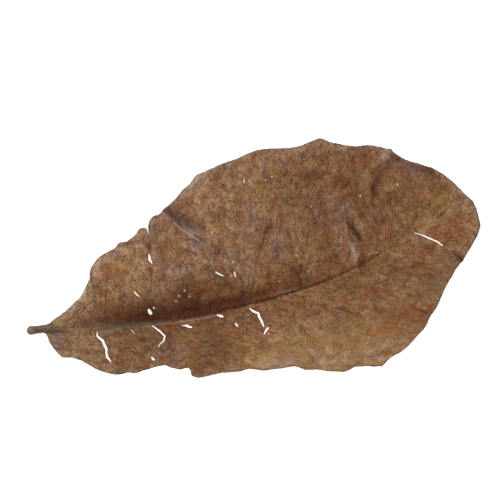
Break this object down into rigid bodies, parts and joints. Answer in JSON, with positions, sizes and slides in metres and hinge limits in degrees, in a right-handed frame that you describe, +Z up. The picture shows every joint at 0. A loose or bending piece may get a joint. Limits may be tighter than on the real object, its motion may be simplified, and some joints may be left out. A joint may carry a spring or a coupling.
{
  "type": "almond leaf",
  "caption": "Dried brown leaf of the Indian almond tree lying on its underside, with a short petiole stub, a raised midrib, turned-down margins and cracks through the blade.",
  "frame": {"origin": "centre of the leaf's bounding box, on the surface that the leaf lies on", "axes": "+X along the leaf from the petiole to the tip, +Y towards the broader half of the blade, +Z up, out of the leaf's upper side"},
  "size_m": [0.2336, 0.1192, 0.013],
  "materials": {
    "dry_leaf": "matt dry leaf skin, mottled brown, with a faint waxy sheen"
  },
  "bodies": {
    "root": {"almond_leaf": "dry_leaf"}
  },
  "joints": []
}
